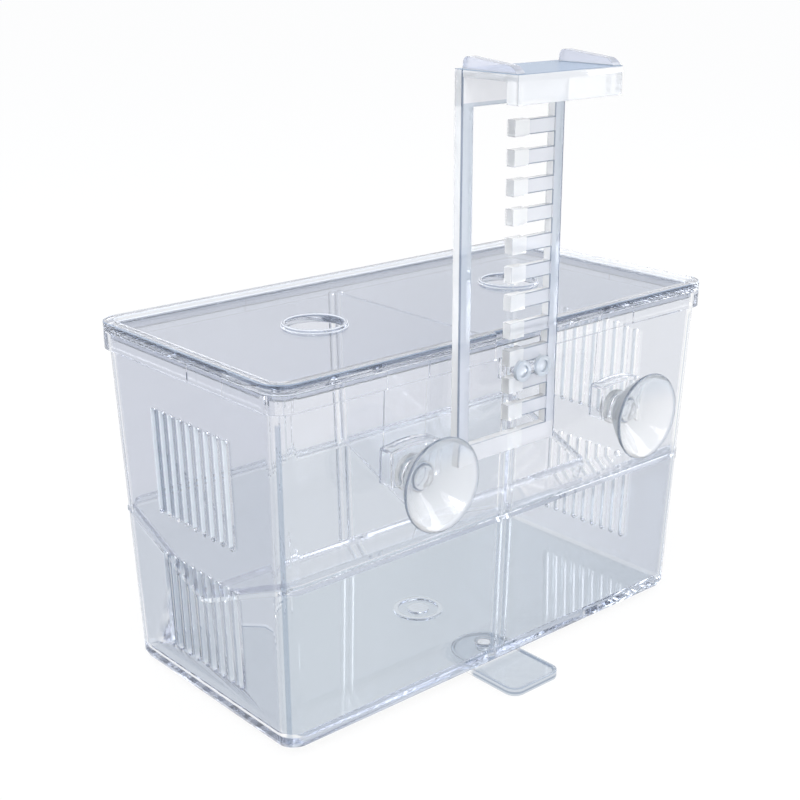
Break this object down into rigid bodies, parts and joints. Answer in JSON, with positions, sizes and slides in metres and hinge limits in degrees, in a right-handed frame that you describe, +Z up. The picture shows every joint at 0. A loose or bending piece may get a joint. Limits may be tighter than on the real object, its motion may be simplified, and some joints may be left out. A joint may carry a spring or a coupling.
{
  "type": "hang-on fish breeding box",
  "caption": "Clear slotted breeding box with lift-off lid, divider, sloping V floor, notched hang-on hook, suction cups and a swivel foot.",
  "frame": {"origin": "middle of the part's box in plan, at the height of the swivel foot's underside", "axes": "+X along the tank, to the right seen from the hanger's side; +Y from the hanger to the back of the tank; +Z up"},
  "size_m": [0.2, 0.1298, 0.2172],
  "materials": {
    "clear_plastic": "clear moulded styrene, polished, with a cool blue-grey tint in the edges",
    "clear_soft_rubber": "soft translucent PVC, smooth and glossy"
  },
  "bodies": {
    "tank": {"tank": "clear_plastic"},
    "front_panel": {"front_sloping_panel": "clear_plastic"},
    "back_panel": {"back_sloping_panel": "clear_plastic"},
    "divider": {"centre_divider": "clear_plastic"},
    "lid": {"lid": "clear_plastic"},
    "hanger": {"hanger": "clear_plastic"},
    "left_cup": {"left_suction_cup": "clear_soft_rubber"},
    "right_cup": {"right_suction_cup": "clear_soft_rubber"},
    "foot": {"swivel_foot": "clear_plastic"}
  },
  "joints": [
    {"name": "front_panel_lift", "type": "slide", "parent": "tank", "child": "front_panel", "axis": [0, 0, 1], "range_m": [0, 0.09]},
    {"name": "back_panel_lift", "type": "slide", "parent": "front_panel", "child": "back_panel", "axis": [0, 0, 1], "range_m": [0, 0.09]},
    {"name": "divider_lift", "type": "slide", "parent": "back_panel", "child": "divider", "axis": [0, 0, 1], "range_m": [0, 0.085]},
    {"name": "lid_lift", "type": "slide", "parent": "divider", "child": "lid", "axis": [0, 0, 1], "range_m": [0, 0.06]},
    {"name": "hanger_height", "type": "slide", "parent": "tank", "child": "hanger", "axis": [0, 0, 1], "range_m": [-0.037, 0.0185]},
    {"name": "left_cup_slide", "type": "slide", "parent": "tank", "child": "left_cup", "axis": [0, 0, -1], "range_m": [0, 0.025]},
    {"name": "right_cup_slide", "type": "slide", "parent": "tank", "child": "right_cup", "axis": [0, 0, -1], "range_m": [0, 0.025]},
    {"name": "foot_swivel", "type": "hinge", "parent": "tank", "child": "foot", "pos_m": [0, -0.0223, 0.0017], "axis": [0, 0, 1], "continuous": true}
  ]
}
